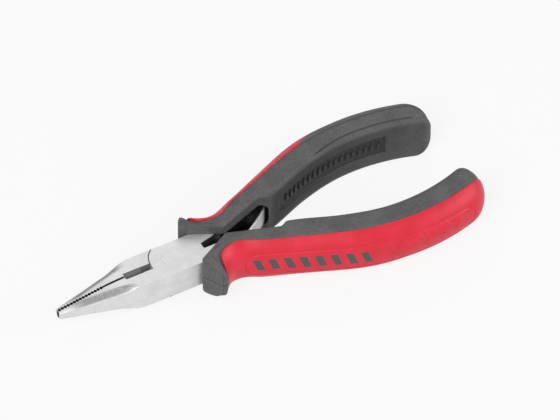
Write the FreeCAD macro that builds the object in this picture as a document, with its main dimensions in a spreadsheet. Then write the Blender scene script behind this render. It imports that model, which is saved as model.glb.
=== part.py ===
"""Needle nose pliers, 115 mm: two identical forged halves in a lap joint, with moulded two-colour grips.

The tool lies flat with its jaws closed. +X runs along the symmetry line towards the handles, +Z is the
pivot's axis, and the front half's handle is on +Y. Every piece is drawn about the pivot with z = 0 in
the lap plane, then placed so that the grips' undersides lie on z = 0 and the length is centred on x = 0.
The rear half is the front half turned 180 degrees about X.
"""
import FreeCAD, Part
import math
import os
import re

import Sketcher
from FreeCAD import Placement, Rotation, Vector

SIZES = {
    # Overall reach from the pivot
    "jaw_reach": 33.0,
    "handle_reach": 82.1,
    # Joint
    "joint_half_width": 5.2,
    "joint_thickness": 7.7,
    "front_lap_radius": 6.3,
    "rear_lap_radius": 15.2,
    "lap_gap": 0.06,
    "crotch_front": 8.3,
    "crotch_half_width": 1.0,
    "rivet_radius": 2.4,
    "rivet_head_radius": 3.1,
    "rivet_head_depth": 1.0,
    "running_gap": 0.03,
    "collar_gap": 0.15,
    # Jaws
    "taper_start": 11.6,
    "jaw_shoulder": 18.2,
    "jaw_shoulder_thickness": 7.3,
    "tip_half_width": 1.35,
    "tip_thickness": 2.5,
    "tip_corner": 1.0,
    "jaw_corner": 1.5,
    "joint_corner": 0.1,
    "jaw_gap": 0.04,
    "relief_depth": 0.13,
    "tooth_pitch": 0.85,
    "tooth_depth": 0.3,
    "tooth_count": 15,
    "cutter_front": 14.0,
    "cutter_half_width": 0.8,
    "cutter_land": 0.9,
    # Handle line
    "mouth_front": 14.8,
    "mouth_half_gap": 1.0,
    "inner_splay_angle": 20.4,
    "tang_reach": 46.0,
    "tang_thickness": 2.8,
    "tang_height": 6.4,
    "pocket_depth": 1.7,
    "pocket_height": 7.0,
    "pocket_ramp": 24.8,
    "pocket_end": 30.3,
    "pocket_end_offset": 6.55,
    # Grip
    "grip_thickness": 13.6,
    "skim": 0.2,
    "palm_step": 0.9,
    "hand_splay_angle": 17.5,
    "hand_radius": 50.0,
    "hand_crest": 59.8,
    "hand_crest_offset": 12.94,
    "back_splay_angle": 24.0,
    "back_radius": 52.0,
    "back_crest": 60.5,
    "back_crest_offset": 23.2,
    "waist_place": 15.0,
    "waist_offset": 8.7,
    "shoulder_place": 21.5,
    "guard_place": 7.6,
    "guard_offset": 12.2,
    "guard_front": 4.8,
    "guard_corner": 2.0,
    "guard_corner_offset": 6.4,
    "guard_rake": 0.55,
    "heel_round": 5.4,
    # Inlay
    "inlay_thickness": 1.8,
    "inlay_front": 9.5,
    "inlay_front_offset": 7.2,
    "inlay_throat": 14.0,
    "inlay_throat_offset": 5.1,
    "seam_splay_angle": 21.5,
    "seam_radius": 58.0,
    "seam_crest": 60.0,
    "seam_crest_offset": 19.0,
    "rail_height": 8.0,
    # Return spring
    "leaf_thickness": 0.5,
    "leaf_width": 5.0,
    "leaf_root_end": 24.4,
    "leaf_bend_place": 16.54,
    "leaf_bend_round": 0.45,
    "leaf_bend_radius": 0.3,
    "leaf_rise_angle": 36.0,
    "leaf_bow": 70.0,
    "leaf_tip_place": 29.9,
    "spring_rivet_place": 20.6,
    "spring_rivet_radius": 0.8,
    "spring_rivet_head_radius": 1.5,
    "spring_rivet_head_height": 0.7,
    "spring_rivet_depth": 2.2,
    "leaf_touch_gap": 0.05,
}

doc = FreeCAD.newDocument("needle_nose_pliers")
sheet = doc.addObject("Spreadsheet::Sheet", "sizes")
for row, (alias, value) in enumerate(SIZES.items(), start=1):
    sheet.set(f"A{row}", alias)
    sheet.set(f"B{row}", str(value))
    sheet.setAlias(f"B{row}", alias)
doc.recompute()


def named(text):
    """Turn a formula over size names into an expression over the sheet."""
    return re.sub(r"[a-z][a-z_]+", lambda word: f"sizes.{word[0]}" if word[0] in SIZES else word[0], text)


def value_of(text):
    return float(sheet.evalExpression(text))


def bind(thing, prop, text):
    thing.setExpression(prop, named(text))


def degrees(name):
    """An angle from the sheet, for use inside sin, cos and tan."""
    return f"{name} * 1deg"


def sine(name):
    return f"sin({degrees(name)})"


def cosine(name):
    return f"cos({degrees(name)})"


def slope(name):
    return f"tan({degrees(name)})"


# ---------------------------------------------------------------- sketches and features

def new_body(name):
    return doc.addObject("PartDesign::Body", name)


def origin_plane(body, role):
    return next(plane for plane in body.Origin.OriginFeatures if plane.Role == role)


def outline(body, name, corners, plane="XY_Plane", height=None):
    """A closed sketch through corners, on a plane of the body that may be raised by a height.

    A corner is (across, up) or (across, up, radius): with a radius, the side that leaves it is an arc,
    centred on the left of its way for a positive radius and on the right for a negative one.
    """
    sketch = body.newObject("Sketcher::SketchObject", name)
    sketch.AttachmentSupport = [(origin_plane(body, plane), "")]
    sketch.MapMode = "FlatFace"
    if height is not None:
        bind(sketch, "AttachmentOffset.Base.z", height)
    places = [Vector(value_of(corner[0]), value_of(corner[1]), 0) for corner in corners]
    count = len(corners)
    for index, corner in enumerate(corners):
        start, end = places[index], places[(index + 1) % count]
        if len(corner) == 2:
            sketch.addGeometry(Part.LineSegment(start, end), False)
        else:
            sketch.addGeometry(bowed(start, end, value_of(corner[2])), False)
    for index, corner in enumerate(corners):
        leaves = start_of(corner)
        before = (index - 1) % count
        ends = end_of(corners[before])
        sketch.addConstraint(Sketcher.Constraint("Coincident", before, ends, index, leaves))
        for kind, text in (("DistanceX", corner[0]), ("DistanceY", corner[1])):
            number = sketch.addConstraint(Sketcher.Constraint(kind, -1, 1, index, leaves, value_of(text)))
            bind(sketch, f"Constraints[{number}]", text)
        if len(corner) == 3:
            size = corner[2].lstrip("-")
            number = sketch.addConstraint(Sketcher.Constraint("Radius", index, value_of(size)))
            bind(sketch, f"Constraints[{number}]", size)
    return sketch


def start_of(corner):
    """Which end of its geometry a side leaves from: arcs are stored anticlockwise."""
    return 2 if len(corner) == 3 and corner[2].startswith("-") else 1


def end_of(corner):
    return 3 - start_of(corner)


def bowed(start, end, radius):
    """The shorter arc from start to end, centred on the left for a positive radius."""
    along = end.sub(start)
    half = along.Length / 2
    left = Vector(-along.y, along.x, 0).normalize()
    side = 1 if radius > 0 else -1
    centre = start.add(end).multiply(0.5).add(left * (side * math.sqrt(radius**2 - half**2)))
    first, last = (start, end) if side > 0 else (end, start)
    angles = [math.atan2(point.y - centre.y, point.x - centre.x) for point in (first, last)]
    return Part.ArcOfCircle(Part.Circle(centre, Vector(0, 0, 1), abs(radius)), *angles)


def disc(body, name, radius, height=None):
    sketch = body.newObject("Sketcher::SketchObject", name)
    sketch.AttachmentSupport = [(origin_plane(body, "XY_Plane"), "")]
    sketch.MapMode = "FlatFace"
    if height is not None:
        bind(sketch, "AttachmentOffset.Base.z", height)
    sketch.addGeometry(Part.Circle(Vector(), Vector(0, 0, 1), value_of(radius)), False)
    sketch.addConstraint(Sketcher.Constraint("Coincident", 0, 3, -1, 1))
    number = sketch.addConstraint(Sketcher.Constraint("Radius", 0, value_of(radius)))
    bind(sketch, f"Constraints[{number}]", radius)
    return sketch


def pad(body, name, profile, length, centred=False):
    """Raise a profile along its normal, or half each way."""
    feature = body.newObject("PartDesign::Pad", name)
    feature.Profile = profile
    feature.Midplane = centred
    bind(feature, "Length", length)
    return feature


def pocket(body, name, profile, length, centred=False, upward=True):
    """Cut a profile along its normal (upward), against it, or half each way."""
    doc.recompute()
    before = body.Shape.Volume
    feature = body.newObject("PartDesign::Pocket", name)
    feature.Profile = profile
    feature.Midplane = centred
    feature.Reversed = upward
    bind(feature, "Length", length)
    doc.recompute()
    if not body.Shape.Volume < before:
        raise RuntimeError(f"{name} cuts nothing")
    return feature


def loft(body, name, sections, ruled=True):
    feature = body.newObject("PartDesign::AdditiveLoft", name)
    feature.Profile = sections[0]
    feature.Sections = sections[1:]
    feature.Ruled = ruled
    return feature


# ---------------------------------------------------------------- lines that several pieces share

def tang_line(place, inset="0"):
    """Offset of the tang's inner face at a place, pushed outward by an inset."""
    return (f"(mouth_half_gap + pocket_depth / {cosine('inner_splay_angle')} "
            f"+ ({place} - mouth_front) * {slope('inner_splay_angle')} + {inset})")


TANG_WALL = f"tang_thickness / {cosine('inner_splay_angle')}"
NECK = "mouth_front - pocket_depth"


def mouth_line(place):
    """Inner edge of the grip beside the spring pocket."""
    return f"(mouth_half_gap + ({place} - mouth_front) * {slope('inner_splay_angle')})"


def crest_line(place, crest, crest_offset, radius, splay):
    """Offset at a place of a straight run that leads into a bow."""
    start = f"({crest} - {radius} * {sine(splay)})"
    start_offset = f"({crest_offset} - {radius} + {radius} * {cosine(splay)})"
    run_in = f"{start_offset} - ({start} - {place}) * {slope(splay)}"
    bow = f"{crest_offset} - {radius} + sqrt(max({radius}^2 - ({place} - {crest})^2; 0))"
    return f"({place} < {start} ? {run_in} : {bow})"


HAND = ("hand_crest", "hand_crest_offset", "hand_radius", "hand_splay_angle")
BACK = ("back_crest", "back_crest_offset", "back_radius", "back_splay_angle")
SEAM = ("seam_crest", "seam_crest_offset", "seam_radius", "seam_splay_angle")


# ---------------------------------------------------------------- forged halves

def jaw_section(body, name, half_width, thickness, corner, place):
    """Half of a rounded bar: flat on the gripping face, round on the outside."""
    return outline(body, name, [
        ("-jaw_gap / 2", f"{thickness} / 2"),
        (f"-{half_width} + {corner}", f"{thickness} / 2", corner),
        (f"-{half_width}", f"{thickness} / 2 - {corner}"),
        (f"-{half_width}", f"-{thickness} / 2 + {corner}", corner),
        (f"-{half_width} + {corner}", f"-{thickness} / 2"),
        ("-jaw_gap / 2", f"-{thickness} / 2"),
    ], "YZ_Plane", place)


def add_jaw(body, name):
    tip = jaw_section(body, f"{name}_tip", "tip_half_width", "tip_thickness", "tip_corner", "-jaw_reach")
    narrowing = "(joint_half_width - tip_half_width) * (jaw_shoulder - taper_start) / (jaw_reach - taper_start)"
    shoulder = jaw_section(body, f"{name}_shoulder", f"(joint_half_width - {narrowing})",
                           "jaw_shoulder_thickness", "jaw_corner", "-jaw_shoulder")
    root = jaw_section(body, f"{name}_root", "joint_half_width", "joint_thickness", "joint_corner",
                       "-taper_start")
    loft(body, f"{name}_jaw", [tip, shoulder, root])
    block = outline(body, f"{name}_block_line", [
        ("-taper_start", "-jaw_gap / 2"),
        ("-taper_start", "-joint_half_width"),
        ("0", "-joint_half_width"),
        ("0", "-jaw_gap / 2"),
    ])
    pad(body, f"{name}_block", block, "joint_thickness", centred=True)


def tang_outline(body, name):
    return outline(body, name, [
        ("crotch_front", "crotch_half_width"),
        (NECK, tang_line(NECK)),
        ("tang_reach", tang_line("tang_reach")),
        ("tang_reach", tang_line("tang_reach", TANG_WALL)),
        (NECK, tang_line(NECK, TANG_WALL)),
        ("crotch_front", "joint_half_width"),
    ])


def cut_seats(body, name):
    """Take away the lower layer where the other half's plate turns."""
    under = "-joint_thickness / 2"
    depth = "(joint_thickness + lap_gap) / 2"
    pocket(body, f"{name}_front_seat", disc(body, f"{name}_front_seat_line",
                                            "front_lap_radius + running_gap", under), depth)
    radius = "(rear_lap_radius + running_gap)"
    reach = f"sqrt({radius}^2 - crotch_front^2 / 4)"
    rear = outline(body, f"{name}_rear_seat_line", [
        ("crotch_front / 2", f"-{reach}", radius),
        ("crotch_front / 2", reach),
    ], height=under)
    pocket(body, f"{name}_rear_seat", rear, depth)


def add_plate(body, name):
    """The lap plate over the pivot, from the front seam back to under the other grip's collar."""
    plate = outline(body, f"{name}_plate_line", [
        ("-sqrt(front_lap_radius^2 - joint_half_width^2)", "joint_half_width", "front_lap_radius"),
        ("-sqrt(front_lap_radius^2 - cutter_half_width^2)", "-cutter_half_width"),
        ("-sqrt(front_lap_radius^2 - cutter_half_width^2)", "-joint_half_width"),
        ("sqrt(rear_lap_radius^2 - joint_half_width^2)", "-joint_half_width", "rear_lap_radius"),
        ("sqrt(rear_lap_radius^2 - crotch_half_width^2)", "-crotch_half_width"),
        ("crotch_front", "-crotch_half_width"),
        ("crotch_front", "crotch_half_width"),
        (NECK, tang_line(NECK)),
        (NECK, tang_line(NECK, TANG_WALL)),
        ("crotch_front", "joint_half_width"),
    ], height="lap_gap / 2")
    pad(body, f"{name}_plate", plate, "(joint_thickness - lap_gap) / 2")


def cut_cutter(body, name):
    """Grind both faces of the wire cutter down to its narrow land."""
    for face, sign in (("near", ""), ("far", "-")):
        bevel = outline(body, f"{name}_{face}_bevel_line", [
            ("0", f"{sign}cutter_land / 2"),
            ("0", f"{sign}joint_thickness / 2"),
            ("-cutter_half_width", f"{sign}joint_thickness / 2"),
        ], "YZ_Plane", "-cutter_front")
        pocket(body, f"{name}_{face}_bevel", bevel, "cutter_front - front_lap_radius")


def cut_grip_faces(body, name):
    """The plain gap behind the teeth, and the teeth themselves as a row of notches."""
    gap = outline(body, f"{name}_gap_line", [
        ("-jaw_reach + tooth_pitch * tooth_count", "0"),
        ("-jaw_reach + tooth_pitch * tooth_count", "-jaw_gap / 2 - relief_depth"),
        ("-cutter_front", "-jaw_gap / 2 - relief_depth"),
        ("-cutter_front", "0"),
    ])
    pocket(body, f"{name}_gap", gap, "joint_thickness", centred=True)
    notch = outline(body, f"{name}_notch_line", [
        ("-jaw_reach + tooth_pitch * 0.1", "0"),
        ("-jaw_reach + tooth_pitch * 0.5", "-jaw_gap / 2 - tooth_depth"),
        ("-jaw_reach + tooth_pitch * 0.9", "0"),
    ])
    first = pocket(body, f"{name}_notch", notch, "joint_thickness", centred=True)
    row = body.newObject("PartDesign::LinearPattern", f"{name}_teeth")
    row.Originals = [first]
    row.Direction = (origin_plane(body, "X_Axis"), [""])
    bind(row, "Length", "tooth_pitch * (tooth_count - 1)")
    bind(row, "Occurrences", "tooth_count")
    body.Tip = row


def forged_half(name, bore_gap):
    """One half: the jaw on -Y, the lap plate on +Z over the pivot, the tang on +Y."""
    body = new_body(name)
    add_jaw(body, name)
    pad(body, f"{name}_tang", tang_outline(body, f"{name}_tang_line"), "tang_height", centred=True)
    cut_seats(body, name)
    add_plate(body, name)
    bore = disc(body, f"{name}_bore_line", f"rivet_radius + {bore_gap}")
    pocket(body, f"{name}_bore", bore, "joint_thickness", centred=True)
    sink = disc(body, f"{name}_sink_line", f"rivet_head_radius + {bore_gap}",
                "joint_thickness / 2 - rivet_head_depth")
    pocket(body, f"{name}_sink", sink, "rivet_head_depth")
    cut_cutter(body, name)
    cut_grip_faces(body, name)
    return body


def pivot_rivet(name):
    body = new_body(name)
    half = outline(body, f"{name}_line", [
        ("0", "-joint_thickness / 2"),
        ("rivet_head_radius", "-joint_thickness / 2"),
        ("rivet_head_radius", "-joint_thickness / 2 + rivet_head_depth"),
        ("rivet_radius", "-joint_thickness / 2 + rivet_head_depth"),
        ("rivet_radius", "joint_thickness / 2 - rivet_head_depth"),
        ("rivet_head_radius", "joint_thickness / 2 - rivet_head_depth"),
        ("rivet_head_radius", "joint_thickness / 2"),
        ("0", "joint_thickness / 2"),
    ], "XZ_Plane")
    turned = body.newObject("PartDesign::Revolution", f"{name}_turned")
    turned.Profile = half
    turned.ReferenceAxis = (half, ["V_Axis"])
    turned.Angle = 360
    return body


# ---------------------------------------------------------------- grips

def grip_section(body, name, place, inner, outer, seam, height):
    """A D across the handle: flat towards the other handle, bowed outside from seam to seam."""
    bulge = f"({outer} - {seam})"
    radius = f"(({height} / 2)^2 + {bulge}^2) / (2 * {bulge})"
    return outline(body, name, [
        (inner, f"-{height} / 2"),
        (seam, f"-{height} / 2", f"({radius})"),
        (seam, f"{height} / 2"),
        (inner, f"{height} / 2"),
    ], "YZ_Plane", place)


def grip_blank(name):
    """The whole outside of one grip, from its finger guard to its heel."""
    body = new_body(name)
    full = "(grip_thickness + skim)"
    start = "guard_front - guard_corner"
    flare = "(guard_place + waist_place) / 2"
    rows = [
        (start, mouth_line(start), "guard_offset", "guard_corner_offset", full),
        ("guard_place", mouth_line("guard_place"), "guard_offset", "guard_corner_offset", full),
        (flare, mouth_line(flare), "(guard_offset * 0.4 + waist_offset * 0.6)",
         "(guard_corner_offset * 0.6 + inlay_throat_offset * 0.4)", full),
        ("waist_place", mouth_line("waist_place"), "waist_offset", "inlay_throat_offset", full),
        ("shoulder_place", mouth_line("shoulder_place"), crest_line("shoulder_place", *BACK),
         crest_line("shoulder_place", *SEAM), full),
    ]
    swell = "(handle_reach - heel_round - pocket_end)"
    for share in (0, 0.22, 0.38, 0.53, 0.68, 0.82):
        place = f"(pocket_end + {swell} * {share})"
        hand, back, seam = [crest_line(place, *line) for line in (HAND, BACK, SEAM)]
        rows.append((place, f"({hand} - palm_step * {round(max(1 - share * 3, 0), 2)})", back, seam, full))
    for share in (-0.3, 0, 0.2, 0.4, 0.6, 0.8, 0.92, 1):
        place = f"(handle_reach - heel_round * {round(1 - share, 2)})"
        ease = f"(heel_round * (1 - sqrt(1 - (0.95 * {max(share, 0)})^2)))"
        hand, back, seam = [crest_line(place, *line) for line in (HAND, BACK, SEAM)]
        rows.append((place, f"({hand} + {ease})", f"({back} - {ease})", f"({seam} - {ease} * 0.7)",
                     f"({full} - {ease} * 2)"))
    sections = [grip_section(body, f"{name}_section_{number}", *row) for number, row in enumerate(rows)]
    loft(body, f"{name}_loft", sections, ruled=False)
    front = outline(body, f"{name}_front_line", [
        ("mouth_front", "mouth_half_gap"),
        ("guard_front", "guard_corner_offset"),
        ("guard_front + guard_rake * guard_offset", "guard_corner_offset + guard_offset"),
        ("guard_front - guard_corner * 2", "guard_corner_offset + guard_offset"),
        ("guard_front - guard_corner * 2", "-guard_offset"),
        ("mouth_front", "-guard_offset"),
    ])
    pocket(body, f"{name}_front", front, "grip_thickness * 2", centred=True)
    for face, level in (("top", "grip_thickness / 2"), ("under", "-grip_thickness / 2 - skim")):
        sheet_above = outline(body, f"{name}_{face}_line", [
            ("-jaw_reach", "-handle_reach"),
            ("handle_reach * 2", "-handle_reach"),
            ("handle_reach * 2", "handle_reach"),
            ("-jaw_reach", "handle_reach"),
        ], height=level)
        pocket(body, f"{name}_{face}", sheet_above, "skim")
    return body


def inlay_region(name):
    """Everything outside the seam, behind the guard."""
    body = new_body(name)
    seam_start = f"(seam_crest - seam_radius * {sine('seam_splay_angle')})"
    beyond = "handle_reach + heel_round"
    far = "back_crest_offset + heel_round"
    line = outline(body, f"{name}_line", [
        ("inlay_front", "inlay_front_offset"),
        ("inlay_throat", "inlay_throat_offset"),
        (seam_start, crest_line(seam_start, *SEAM), "-seam_radius"),
        ("handle_reach", crest_line("handle_reach", *SEAM)),
        (beyond, crest_line("handle_reach", *SEAM)),
        (beyond, far),
        ("inlay_front", far),
    ])
    pad(body, f"{name}_pad", line, "grip_thickness * 2", centred=True)
    return body


def rail(name):
    """The hard core's rib that the inlay wraps round."""
    body = new_body(name)
    inner_radius = "(back_radius - inlay_thickness)"
    start = f"(back_crest - {inner_radius} * {sine('back_splay_angle')})"
    start_offset = f"(back_crest_offset - back_radius + {inner_radius} * {cosine('back_splay_angle')})"
    end = "(handle_reach - heel_round)"
    end_offset = f"(back_crest_offset - back_radius + sqrt({inner_radius}^2 - ({end} - back_crest)^2))"
    line = outline(body, f"{name}_line", [
        ("guard_front", "-guard_offset"),
        (end, "-guard_offset"),
        (end, end_offset, inner_radius),
        (start, start_offset),
        ("waist_place", "waist_offset - inlay_thickness"),
        ("guard_front", "waist_offset - inlay_thickness"),
    ])
    pad(body, f"{name}_pad", line, "rail_height", centred=True)
    return body


def pocket_room(name):
    """The spring's pocket in the inner wall, down to the tang."""
    body = new_body(name)
    line = outline(body, f"{name}_line", [
        ("crotch_front", "-guard_offset"),
        ("pocket_end", "-guard_offset"),
        ("pocket_end", "pocket_end_offset"),
        ("pocket_ramp", tang_line("pocket_ramp")),
        ("crotch_front", tang_line("crotch_front")),
    ])
    pad(body, f"{name}_pad", line, "pocket_height", centred=True)
    return body


def joint_room(name):
    """Room in the collar for the joint's plates, which turn in it."""
    body = new_body(name)
    radius = "(rear_lap_radius + collar_gap)"
    side = "(joint_half_width + collar_gap)"
    reach = f"sqrt({radius}^2 - {side}^2)"
    line = outline(body, f"{name}_line", [
        ("0", f"-{side}"),
        (reach, f"-{side}", radius),
        (reach, side),
        ("0", side),
    ])
    pad(body, f"{name}_pad", line, "joint_thickness + collar_gap * 2", centred=True)
    return body


def tang_room(name):
    body = new_body(name)
    pad(body, f"{name}_pad", tang_outline(body, f"{name}_line"), "tang_height", centred=True)
    return body


def joined(kind, name, pieces):
    thing = doc.addObject(kind, name)
    thing.Shapes = pieces
    return thing


def cut(name, base, tool):
    thing = doc.addObject("Part::Cut", name)
    thing.Base = base
    thing.Tool = tool
    return thing


def handle_grip(side):
    """Grip and inlay of one handle, cut from one blank along one seam."""
    blank = grip_blank(f"{side}_blank")
    wrap = cut(f"{side}_wrap", inlay_region(f"{side}_region"), rail(f"{side}_rail"))
    inlay = joined("Part::MultiCommon", f"{side}_inlay", [blank, wrap])
    rooms = [tang_room(f"{side}_tang_room"), pocket_room(f"{side}_pocket"), joint_room(f"{side}_joint_room")]
    hollow = joined("Part::MultiFuse", f"{side}_hollow", rooms)
    grip = cut(f"{side}_grip", cut(f"{side}_core", blank, wrap), hollow)
    return grip, inlay


# ---------------------------------------------------------------- return spring

def stand_on_tang(thing, depth):
    """Stand a round piece on the rear tang's inner face at the spring rivet, sunk by a depth."""
    across = f"spring_rivet_place - ({depth}) * {sine('inner_splay_angle')}"
    out = f"-{tang_line('spring_rivet_place')} - ({depth}) * {cosine('inner_splay_angle')}"
    bind(thing, "Placement", f"create(<<placement>>; create(<<vector>>; {across}; {out}; 0); "
         "create(<<rotation>>; -inner_splay_angle; 0; -90))")


def return_spring(name):
    """A leaf folded into a V: its root on the rear tang, its free leg out to the front grip's pocket."""
    body = new_body(name)
    half_fold = "((leaf_rise_angle + inner_splay_angle) / 2 * 1deg)"
    lean = "((leaf_rise_angle - inner_splay_angle) / 2 * 1deg)"
    fold = f"leaf_thickness / sin({half_fold})"
    back_start = f"(leaf_bend_place + leaf_bend_round * {cosine('inner_splay_angle')})"
    line = outline(body, f"{name}_line", [
        (back_start, f"-{tang_line(back_start)}"),
        ("leaf_root_end", f"-{tang_line('leaf_root_end')}"),
        ("leaf_root_end", f"-{tang_line('leaf_root_end')} + leaf_thickness / {cosine('inner_splay_angle')}"),
        (f"leaf_bend_place + {fold} * cos({lean})",
         f"-{tang_line('leaf_bend_place')} + {fold} * sin({lean})", "(leaf_bow + leaf_thickness)"),
        (f"leaf_tip_place + leaf_thickness * {sine('leaf_rise_angle')}",
         f"pocket_end_offset - leaf_touch_gap - leaf_thickness * {cosine('leaf_rise_angle')}"),
        ("leaf_tip_place", "pocket_end_offset - leaf_touch_gap", "-leaf_bow"),
        (f"leaf_bend_place + leaf_bend_round * {cosine('leaf_rise_angle')}",
         f"-{tang_line('leaf_bend_place')} + leaf_bend_round * {sine('leaf_rise_angle')}", "leaf_bend_radius"),
    ])
    pad(body, f"{name}_pad", line, "leaf_width", centred=True)
    return body


# ---------------------------------------------------------------- assembly

def place_in_tool(thing, turned=False):
    """Lay a finished piece where it belongs: the rear side's are the front's, turned over about X."""
    thing.Placement = Placement(Vector(), Rotation(Vector(1, 0, 0), 180 if turned else 0))
    bind(thing, "Placement.Base.x", "(jaw_reach - handle_reach) / 2")
    bind(thing, "Placement.Base.z", "grip_thickness / 2")


def rivet_shank(name, radius):
    """Cylinder through the rear tang's wall at the spring rivet."""
    shank = doc.addObject("Part::Cylinder", name)
    bind(shank, "Radius", radius)
    bind(shank, "Height", "spring_rivet_depth + leaf_thickness")
    stand_on_tang(shank, "spring_rivet_depth")
    return shank


def spring_rivet(name):
    head = doc.addObject("Part::Cylinder", f"{name}_head")
    bind(head, "Radius", "spring_rivet_head_radius")
    bind(head, "Height", "spring_rivet_head_height")
    stand_on_tang(head, "-leaf_thickness")
    return joined("Part::MultiFuse", name, [head, rivet_shank(f"{name}_shank", "spring_rivet_radius")])


front_half = forged_half("front_half", "running_gap")
rear_steel = forged_half("rear_steel", "0")
rear_half = cut("rear_half", rear_steel, rivet_shank("spring_rivet_hole", "spring_rivet_radius"))
rear_steel.Placement = Placement(Vector(), Rotation(Vector(1, 0, 0), 180))
rivet = pivot_rivet("pivot_rivet")
spring = return_spring("leaf")
return_leaf = cut("return_spring", spring, rivet_shank("leaf_hole", "spring_rivet_radius"))
fixing = spring_rivet("spring_rivet")
front_grip, front_inlay = handle_grip("front")
rear_grip, rear_inlay = handle_grip("rear")

for piece in (front_half, rivet, front_grip, front_inlay, rear_half, return_leaf, fixing):
    place_in_tool(piece)
for piece in (rear_grip, rear_inlay):
    place_in_tool(piece, turned=True)
doc.recompute()

SUB_PARTS = (
    front_half, rear_half, rivet, return_leaf, fixing,
    front_grip, front_inlay, rear_grip, rear_inlay,
)

for thing in doc.Objects:
    if {"Invalid", "Error"} & set(thing.State):
        raise RuntimeError(f"{thing.Label} failed to build: {thing.State}")
for part in SUB_PARTS:
    if part.Shape.isNull() or not part.Shape.isValid():
        raise RuntimeError(f"{part.Label} has no valid shape")

os.makedirs("parts", exist_ok=True)
for part in SUB_PARTS:
    part.Shape.exportStep(f"parts/{part.Label}.step")
    print(f"{part.Label}: {len(part.Shape.Solids)} solid, {part.Shape.Volume:.1f} mm3")
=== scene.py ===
"""Looks of a pair of needle nose pliers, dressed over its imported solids.

Lengths in this file are millimetres from the pivot: +X runs from the pivot to the heels, +Y to the
front grip's side, +Z up. Meshes are written in metres in the frame of the solids. A place is a
distance along X, an offset a distance across it, and a share runs from 0 to 1.
"""

import math

import bmesh
import bpy
import numpy as np
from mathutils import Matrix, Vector


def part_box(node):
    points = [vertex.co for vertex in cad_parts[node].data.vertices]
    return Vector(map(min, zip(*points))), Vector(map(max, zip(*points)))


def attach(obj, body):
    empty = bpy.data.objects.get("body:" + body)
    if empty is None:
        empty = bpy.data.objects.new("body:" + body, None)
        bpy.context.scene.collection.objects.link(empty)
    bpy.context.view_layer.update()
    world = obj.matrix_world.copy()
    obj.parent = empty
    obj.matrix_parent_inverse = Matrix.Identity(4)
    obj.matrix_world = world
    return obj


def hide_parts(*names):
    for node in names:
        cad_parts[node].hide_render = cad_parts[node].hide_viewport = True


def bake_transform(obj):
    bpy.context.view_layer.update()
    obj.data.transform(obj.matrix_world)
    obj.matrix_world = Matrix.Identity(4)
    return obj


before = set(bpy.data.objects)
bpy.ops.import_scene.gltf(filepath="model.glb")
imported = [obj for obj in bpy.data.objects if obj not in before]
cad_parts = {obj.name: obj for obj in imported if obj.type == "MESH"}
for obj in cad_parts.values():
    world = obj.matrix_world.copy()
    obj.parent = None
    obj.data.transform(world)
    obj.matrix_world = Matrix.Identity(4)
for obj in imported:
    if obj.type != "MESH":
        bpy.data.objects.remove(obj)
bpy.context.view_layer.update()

MM = 0.001
ONE_SPOT = 1e-7     # metres within which two points are one
QUARTER = math.pi / 2
SHARP_FROM = 35     # degrees from which an edge is shaded sharp
rivet_low, rivet_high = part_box("pivot_rivet")
PIVOT = (rivet_low + rivet_high) / 2

# ---------------- grip sizes

HALF_HEIGHT = 6.8
LEAN = math.radians(20.4)           # of a handle, away from the middle, next to the joint
INNER_SLOPE = math.tan(LEAN)

# Bows of a handle seen from above: place of the crest, its offset, radius, and splay of the straight run.
HAND_LINE = (59.8, 12.75, 50.0, 17.5)
BACK_LINE = (60.5, 23.2, 52.0, 24.0)
SEAM_LINE = (60.0, 19.0, 58.0, 21.5)
SHOULDER, STEP_START, INNER_JOIN, KNOTS_END = 21.5, 27.4, 30.3, 34.0
PALM_STEP, PALM_FRONT, PALM_REAR = 0.95, 31, 44

# The collar runs from the mouth out to a corner and on to the finger guard.
MOUTH, COLLAR_CORNER, GUARD = (14.8, 1.0), (4.8, 6.4), (8.0, 12.2)
GUARD_WALL, GUARD_SQUARENESS = 3.4, 0.85
GUARD_FADE = (8.6, 10.8)
COLLAR_REAR = 22.0
COLLAR_BEVEL, BEVEL_LENGTH = 0.45, 0.03
UNDERSIDE_ROUND, UNDERSIDE_START, UNDERSIDE_DEPTH = 2.6, 3.9, 2.9

# The heel draws the section in and rounds the handle off.
HEEL_PLACE, HEEL_LENGTH, HEEL_EASE = 82.1, 5.4, 4.5
HEEL_LIFT, HEEL_SEAM = 1.25, 0.42
SHELL_END = HEEL_PLACE - 0.25

# Section of a grip: rounded inner edge that rolls wider towards the heel, top corner, swelling of the bow.
EDGE_ROUND, ROLL_ACROSS, ROLL_DOWN, ROLL_RUN = 0.9, 1.9, 0.2, (45, 58)
TOP_CORNER, LEAST_BULGE = 0.8, 0.5
SWELL, SWELL_RUN, SWELL_LOST, SWELL_LOST_RUN = 0.4, (11, 18), 0.3, (46, 58)
RIM_DEPTH, RIM_TURN, RIM_WIDTH, RIM_RUN = 0.45, 1.2, 0.11, (46, 49)
WALL_STEPS, EDGE_STEPS, TOP_STEPS, CORNER_STEPS, BOW_STEPS = 34, 20, 12, 6, 26

# The sunk panel for the fingers, with a row of raised marks.
PANEL_FRONT, PANEL_REAR, PANEL_HALF_HEIGHT = 34.0, 69.0, 3.0
PANEL_DEPTH, PANEL_EDGE = 0.6, 0.175
MARK_COUNT, MARK_SIZE, MARK_TAPER = 18, (1.05, 0.9, 2.9), 0.72

# Room inside a grip for the joint's plates, the spring and the tang.
JOINT_ROOM_RADIUS, JOINT_ROOM_HALF_WIDTH, JOINT_ROOM_HALF_HEIGHT = 15.35, 5.35, 4.0
POCKET_FRONT, POCKET_DEEP_END, POCKET_REAR = 8.3, 24.8, 30.3
POCKET_ROUND, POCKET_HALF_HEIGHT = 2.2, 3.5
POCKET_REAR_DEPTH, POCKET_REACH = 6.55, 12.5
TANG_BEND, TANG_END, TANG_HALF_HEIGHT = 13.1, 46.0, 3.2
TANG_WALL, TANG_BACK = 1.7, 4.5

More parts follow.
